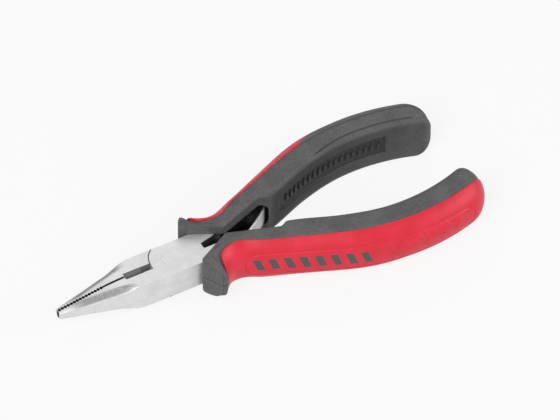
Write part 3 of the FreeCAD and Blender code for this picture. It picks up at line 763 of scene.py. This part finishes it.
def red_inlay():
    """Soft red rubber with a fine grain, a row of plain slanted grey bars, and grey that wraps over the
    front grip's edge towards its heel."""
    material, shader, spot, (x, y, z) = finish_of("red_rubber", Specular_IOR_Level=0.38)
    grain, cloud = noise(spot, 7.0, detail=3, rough=0.6), noise(spot, 0.2, detail=3)
    tall = z.size()
    bar_pitch, first_bar, last_bar = 3.6, 5, 13
    slant = (z * 0.35 + x) / bar_pitch
    bars = slant.past_whole().band(0.06, 0.10) * slant.past_whole().outside(0.56, 0.60)
    bars = bars * tall.outside(1.75, 1.90)
    bars = bars * slant.band(first_bar - 0.01, first_bar) * slant.outside(last_bar, last_bar + 0.01)
    height = x.band(42.0, 58.0) * 3.0 + x.band(77.0, 81.5) * 3.0 + tall
    wrapped = y.band(2.0, 4.0) * height.band(7.0, 7.12)
    red = (grain * 0.35 + cloud * 0.65).band(0.3, 0.7).mix(*RED_TONES)
    wrap = (grain * 0.5 + cloud * 0.5).band(0.34, 0.66).mix(*WRAP_TONES)
    feed(shader, Base_Color=wrapped.mix(bars.mix(red, BAR_TONE), wrap),
         Roughness=grain * 0.14 + wrapped * 0.16 + 0.37,
         Normal=bump(grain + cloud * 0.4 + bars * 1.5, 0.3, 0.00008))
    return material


def dress(thing, material):
    """Give a piece, or a carried-over solid, one finish all over."""
    if thing.data.materials:
        for index in range(len(thing.data.materials)):
            thing.data.materials[index] = material
    else:
        thing.data.materials.append(material)


STEEL, LEAF, GREY, RED = ground_steel(), leaf_steel(), grey_moulding(), red_inlay()


# ---------------- forged halves

def soft_least(a, b, blend):
    """The lesser of two offsets, rounded where they cross."""
    return min(a, b) - blend / 4 * max(1 - abs(a - b) / blend, 0) ** 2


def jaw_half_width(place):
    """Half width of both shut jaws: a straight taper to the tip."""
    return soft_least(JOINT_HALF_WIDTH, TIP_HALF_WIDTH + WIDTH_SLOPE * (place + JAW_REACH), 0.5)


def jaw_half_height(place):
    """Half height of a jaw: a straight taper to the tip."""
    return soft_least(JOINT_HALF_HEIGHT, TIP_HALF_HEIGHT + HEIGHT_SLOPE * (place + JAW_REACH), 0.6)


def jaw_corner(place):
    """Size of the rounding along a jaw's shoulder: none at the joint, widest in front of it."""
    if place > SHOULDER_FRONT:
        return 0.1 + 1.5 * (1 - ramp(place, SHOULDER_FRONT, SHOULDER_REAR))
    return 1.6 - 0.5 * (SHOULDER_FRONT - place) / (SHOULDER_FRONT + JAW_REACH)


def grip_face(place):
    """Half the gap between the jaws: a row of teeth from the tip, then a plain gap to the cutter."""
    along = (place + JAW_REACH) / TOOTH_PITCH
    if along > TOOTH_COUNT:
        return 0.15 + (JAW_GAP - 0.15) * ramp(along, TOOTH_COUNT, TOOTH_COUNT + 3)
    return TOOTH_LOW + TOOTH_HEIGHT * (1 - abs((along % 1) - 0.5) * 2)


def jaw_points(place, shrink=0.0):
    """One ring round a jaw: gripping face or cutter, flat top running over a hollow shoulder to the side."""
    width, height = jaw_half_width(place) - shrink, jaw_half_height(place) - shrink
    down = max(jaw_corner(place) - shrink * 0.5, 0.05)
    across = down * 1.25
    wall_top = height - GRIP_CHAMFER
    inside = grip_face(place) + shrink
    top_inside = inside + GRIP_CHAMFER
    wall_heights = [wall_top * share for share in np.linspace(0, 1, 9)[:-1]]
    if place > CUTTER_FRONT:
        inside, top_inside = CUTTER_GAP, CUTTER_HALF_WIDTH
        slope = (top_inside - inside) / (height - CUTTER_LAND)
        upper = [(max(inside, inside + slope * (z - CUTTER_LAND)), z) for z in wall_heights]
        upper.append((top_inside - 0.02, wall_top))
    else:
        upper = [(inside, z) for z in wall_heights + [wall_top]]
    flat = width - across - top_inside
    upper += [(top_inside + flat * share, height) for share in np.linspace(0, 1, 8)]
    hollow = (1 - ramp(place, -16, -12)) * ramp(place, -31, -22)
    for turn in np.linspace(0, QUARTER, 13)[1:]:
        y = width - across + across * math.sin(turn)
        z = height - down + down * math.cos(turn)
        dip = HOLLOW_DIP * hollow * math.sin(2 * turn) ** 2
        upper.append((y - dip * 0.8, z - dip * 0.6))
    upper += [(width, (height - down) * (1 - share)) for share in np.linspace(0, 1, 7)[1:]]
    return ring(np.array(upper))


def jaw(name, side):
    """One jaw from its rounded tip back to where it joins the carried-over half."""
    places = list(np.arange(-JAW_REACH + 0.1, TEETH_REAR, TOOTH_PITCH / 8))
    places += list(np.arange(TEETH_REAR, CUTTER_FRONT, 0.3)) + [CUTTER_FRONT - 0.01, CUTTER_FRONT + 0.01]
    places += list(np.arange(CUTTER_FRONT + 0.3, JAW_JOIN, 0.3)) + [JAW_JOIN]
    tip = [(-JAW_REACH, 0.2), (-JAW_REACH + 0.06, 0.06)]
    rows = [[(place, y, z) for y, z in jaw_points(places[0], shrink)] for place, shrink in tip]
    rows += [[(place, y, z) for y, z in jaw_points(place)] for place in places]
    columns = len(rows[0])
    points = [point for row in rows for point in row]
    faces = grid_faces(len(rows), columns)
    for end in (0, len(rows) - 1):
        close_end(points, faces, end * columns, columns, wall=8)
    return make_mesh(name, points, faces, side, sharp_from=32)


def forged_half(name, node, side):
    """A carried-over half, its edges eased, its jaw drawn afresh from the cutter to the tip."""
    bm = bmesh.new()
    bm.from_mesh(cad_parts[node].data)
    bmesh.ops.remove_doubles(bm, verts=bm.verts, dist=ONE_SPOT)
    cut_at = to_frame([(JAW_JOIN, 0, 0)], 1)[0]
    bmesh.ops.bisect_plane(bm, geom=bm.verts[:] + bm.edges[:] + bm.faces[:], plane_co=tuple(cut_at),
                           plane_no=(-1, 0, 0), clear_outer=True)
    bmesh.ops.holes_fill(bm, edges=[edge for edge in bm.edges if edge.is_boundary], sides=0)
    bmesh.ops.dissolve_limit(bm, angle_limit=math.radians(0.8), verts=bm.verts, edges=bm.edges)
    mesh = bpy.data.meshes.new(name)
    bm.to_mesh(mesh)
    bm.free()
    # Normals carried over from the solid would shade the flat faces wrongly.
    if "custom_normal" in mesh.attributes:
        mesh.attributes.remove(mesh.attributes["custom_normal"])
    thing = add_object(name, mesh)
    bevel = thing.modifiers.new("eased_edges", "BEVEL")
    bevel.width, bevel.segments = EASED_EDGE * MM, 2
    bevel.limit_method, bevel.angle_limit = "ANGLE", math.radians(30)
    bevel.use_clamp_overlap = True
    eased = worked_mesh(thing)
    thing.modifiers.clear()
    thing.data = eased
    drawn = jaw(f"{name}_jaw", side)
    bm = bmesh.new()
    bm.from_mesh(eased)
    bm.from_mesh(drawn.data)
    bm.to_mesh(eased)
    bm.free()
    bpy.data.objects.remove(drawn)
    eased.set_sharp_from_angle(angle=math.radians(46))
    # Broad flat faces stay flat; small faces and the long thin ones of the eased edges are smooth.
    for face in eased.polygons:
        round_about = sum((eased.vertices[a].co - eased.vertices[b].co).length for a, b in face.edge_keys)
        face.use_smooth = face.area < 0.4 * MM * MM or round_about ** 2 > 80 * face.area
    return thing


# ---------------- palm marks

def marks_tree():
    """Geometry nodes that set a row of tapered raised bars along a line."""
    tree = bpy.data.node_groups.new("palm_marks", "GeometryNodeTree")
    sockets = {}
    for label, kind, way in (("Line", "Geometry", "INPUT"), ("Count", "Int", "INPUT"),
                             ("Bar Size", "Vector", "INPUT"), ("Taper", "Float", "INPUT"),
                             ("Finish", "Material", "INPUT"), ("Marks", "Geometry", "OUTPUT")):
        made = tree.interface.new_socket(label, in_out=way, socket_type=f"NodeSocket{kind}")
        sockets[label] = made.identifier

    def step(kind, links, **settings):
        """A new node with its settings, and links from (node, output) to each named input."""
        node = tree.nodes.new(kind)
        for key, value in settings.items():
            setattr(node, key, value)
        for target, (source, output) in links.items():
            tree.links.new(source.outputs[output], node.inputs[target])
        return node

    given = step("NodeGroupInput", {})
    spots = step("GeometryNodeCurveToPoints", {"Curve": (given, "Line"), "Count": (given, "Count")},
                 mode="COUNT")
    aligned = step("FunctionNodeAlignRotationToVector", {"Vector": (spots, "Tangent")},
                   axis="X", pivot_axis="Z")
    bar = step("GeometryNodeMeshCube", {"Size": (given, "Bar Size")})
    parts = step("ShaderNodeSeparateXYZ", {0: (step("GeometryNodeInputNormal", {}), "Normal")})
    upright = step("ShaderNodeMath", {0: (parts, "Y")}, operation="ABSOLUTE")
    outward = step("FunctionNodeCompare", {"A": (upright, 0)}, operation="GREATER_THAN")
    outward.inputs["B"].default_value = 0.5
    narrowed = step("GeometryNodeScaleElements", {"Geometry": (bar, "Mesh"), "Selection": (outward, 0),
                                                  "Scale": (given, "Taper")})
    placed = step("GeometryNodeInstanceOnPoints", {"Points": (spots, "Points"),
                                                   "Instance": (narrowed, "Geometry"),
                                                   "Rotation": (aligned, "Rotation")})
    real = step("GeometryNodeRealizeInstances", {"Geometry": (placed, "Instances")})
    finished = step("GeometryNodeSetMaterial", {"Geometry": (real, "Geometry"),
                                                "Material": (given, "Finish")})
    step("NodeGroupOutput", {"Marks": (finished, "Geometry")})
    return tree, sockets


def palm_marks(name, side, tree, sockets):
    """The row of raised marks in one grip's finger panel."""
    places = np.linspace(PANEL_FRONT + 3.2, PANEL_REAR - 2.0, 60)
    line = bpy.data.curves.new(f"{name}_line", "CURVE")
    line.dimensions = "3D"
    spline = line.splines.new("POLY")
    spline.points.add(len(places) - 1)
    spots = to_frame([(place, inner_offset(place) + PANEL_DEPTH, 0) for place in places], side)
    for point, spot in zip(spline.points, spots):
        point.co = (*spot, 1)
    holder = add_object(f"{name}_line", line)
    modifier = holder.modifiers.new("marks", "NODES")
    modifier.node_group = tree
    modifier[sockets["Count"]] = MARK_COUNT
    modifier[sockets["Bar Size"]] = [length * MM for length in MARK_SIZE]
    modifier[sockets["Taper"]] = MARK_TAPER
    modifier[sockets["Finish"]] = GREY
    mesh = worked_mesh(holder)
    bpy.data.objects.remove(holder)
    return add_object(name, mesh)


# ---------------- return spring

def direction(turn):
    """A unit vector seen from above."""
    return np.array([math.cos(turn), math.sin(turn)])


def leaf_line():
    """Middle line of the leaf seen from above: up the tang, round the fold, out along the free leg."""
    root = [np.array([place, -tang_line(place)]) for place in LEAF_ROOT_PLACES]
    line = [spot + direction(QUARTER - LEAN) * LEAF_THICKNESS / 2 for spot in root]
    fold = np.array([FOLD_PLACE, FOLD_INSET - tang_line(FOLD_TANG_PLACE)])
    line += [fold + FOLD_RADIUS * direction(turn) for turn in np.radians(FOLD_TURNS)]
    start = line[-1] + direction(LEG_DIRECTION) * LEG_START
    chord = np.array(LEAF_TIP) - start
    across = np.array([-chord[1], chord[0]]) / np.linalg.norm(chord)
    return line + [start + chord * share + across * LEAF_SAG * 4 * share * (1 - share)
                   for share in np.linspace(0, 1, 14)]


def leaf_spring():
    """A leaf folded into a V: its root riveted to the rear tang, its free leg out to the front grip."""
    line = leaf_line()
    points = []
    for index, spot in enumerate(line):
        before, after = line[max(index - 1, 0)], line[min(index + 1, len(line) - 1)]
        along = (after - before) / np.linalg.norm(after - before)
        normal = np.array([-along[1], along[0]])
        half = LEAF_HALF_WIDTH if index / (len(line) - 1) < LEAF_TIP_SHARE else LEAF_TIP_HALF_WIDTH
        face, short_face, short_half = LEAF_THICKNESS / 2, LEAF_THICKNESS / 2 - LEAF_EDGE, half - LEAF_EDGE
        for off, height in ((-face, -short_half), (-face, short_half), (-short_face, half),
                            (short_face, half), (face, short_half), (face, -short_half),
                            (short_face, -half), (-short_face, -half)):
            place = spot + normal * off
            points.append((place[0], place[1], height))
    faces = grid_faces(len(line), 8)
    faces += [tuple(range(8)), tuple(range(len(points) - 8, len(points)))]
    return make_mesh("return_leaf", points, faces, 1, sharp_from=40)


# ---------------- pieces

dress(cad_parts["pivot_rivet"], STEEL)
dress(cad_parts["return_spring"], LEAF)
dress(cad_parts["spring_rivet"], LEAF)

leaf = leaf_spring()
dress(leaf, LEAF)
leaf_start, leaf_end = to_frame([(18.0, -5.0, 0), (29.0, 6.0, 0)], 1)
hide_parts("return_spring")
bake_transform(leaf)

marks_group, marks_inputs = marks_tree()

for side, body in ((1, "front"), (-1, "rear")):
    marks = palm_marks(f"{body}_palm_marks", side, marks_group, marks_inputs)
    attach(marks, body)
    half = forged_half(f"{body}_forging", f"{body}_half", -side)
    dress(half, STEEL)
    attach(half, body)
    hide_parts(f"{body}_half")
    shell = cut_away(grip_shell(f"{body}_grip_shell", side), grip_cutters(side))
    dress(shell, GREY)
    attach(shell, body)
    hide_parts(f"{body}_grip")
    skin = inlay_skin(f"{body}_inlay_skin", side)
    dress(skin, RED)
    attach(skin, body)
    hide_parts(f"{body}_inlay")


# ---------------- studio

FLOOR_REACH, FLOOR_HEIGHT = 3.0, -0.0002
# Name, place, size and power of each lamp, all aimed at the middle of the tool.
LAMPS = (("key_lamp", (-0.66, -0.45, 0.70), 0.55, 7.8),
         ("top_lamp", (0.35, 0.62, 0.80), 0.9, 2.4),
         ("heel_lamp", (0.80, -0.50, 0.45), 0.5, 4.5))
CAMERA_AZIMUTH, CAMERA_ELEVATION = math.radians(-29.5), math.radians(45.0)
CAMERA_AIM, CAMERA_DISTANCE, CAMERA_LENS = (33.5, 4.75, 0), 1.583, 400


def ray_kinds(tree):
    """Whether a ray comes straight from the camera, and whether it is a reflection."""
    path = tree.nodes.new("ShaderNodeLightPath")
    return Socket(tree, path.outputs["Is Camera Ray"]), Socket(tree, path.outputs["Is Glossy Ray"])


def studio_floor():
    """A wide pale floor, just under the tool."""
    mesh = bpy.data.meshes.new("studio_floor")
    corners = ((-1, -1), (1, -1), (1, 1), (-1, 1))
    mesh.from_pydata([(x * FLOOR_REACH, y * FLOOR_REACH, FLOOR_HEIGHT) for x, y in corners], [],
                     [(0, 1, 2, 3)])
    floor = add_object("studio_floor", mesh)
    material = bpy.data.materials.new("pale_floor")
    material.use_nodes = True
    tree = material.node_tree
    shader = tree.nodes["Principled BSDF"]
    shader.inputs["Base Color"].default_value = grey(0.72)
    shader.inputs["Roughness"].default_value = 0.8
    start = Socket(tree, shader.outputs[0])
    camera, glossy = ray_kinds(tree)
    glow = start.node("ShaderNodeEmission", inputs={"Color": grey(1), "Strength": 1.0})
    mixed = start.node("ShaderNodeMixShader", inputs={0: camera.most(glossy) * 0.86, 1: start, 2: glow})
    tree.links.new(mixed.output, tree.nodes["Material Output"].inputs[0])
    mesh.materials.append(material)


def studio_lamp(name, place, size, watts):
    """A soft square lamp."""
    data = bpy.data.lights.new(name, "AREA")
    data.shape, data.size, data.energy = "SQUARE", size, watts
    lamp = add_object(name, data)
    lamp.location = place
    lamp.rotation_euler = (-Vector(place)).to_track_quat("-Z", "Y").to_euler()


def studio_camera():
    """A long lens, at the angle that the tool is shown from."""
    target = PIVOT + Vector(CAMERA_AIM) * MM
    level = math.cos(CAMERA_ELEVATION)
    back = Vector((math.sin(CAMERA_AZIMUTH) * level, -math.cos(CAMERA_AZIMUTH) * level,
                   math.sin(CAMERA_ELEVATION)))
    data = bpy.data.cameras.new("studio_camera")
    data.lens, data.sensor_width = CAMERA_LENS, 36
    data.clip_end = 20
    camera = add_object("studio_camera", data)
    camera.location = target + back * CAMERA_DISTANCE
    camera.rotation_euler = (-back).to_track_quat("-Z", "Y").to_euler()
    bpy.context.scene.camera = camera


def studio_world():
    """Soft light from all round, white to the camera and weaker in reflections."""
    world = bpy.data.worlds.new("studio_world")
    world.use_nodes = True
    tree = world.node_tree
    backdrop = tree.nodes["Background"]
    backdrop.inputs[0].default_value = grey(1)
    camera, glossy = ray_kinds(tree)
    tree.links.new((camera * 0.78 + glossy * 0.18 + 0.22).output, backdrop.inputs[1])
    bpy.context.scene.world = world


studio_floor()
for lamp_details in LAMPS:
    studio_lamp(*lamp_details)
studio_camera()
studio_world()
bpy.context.scene.view_settings.view_transform = "Standard"
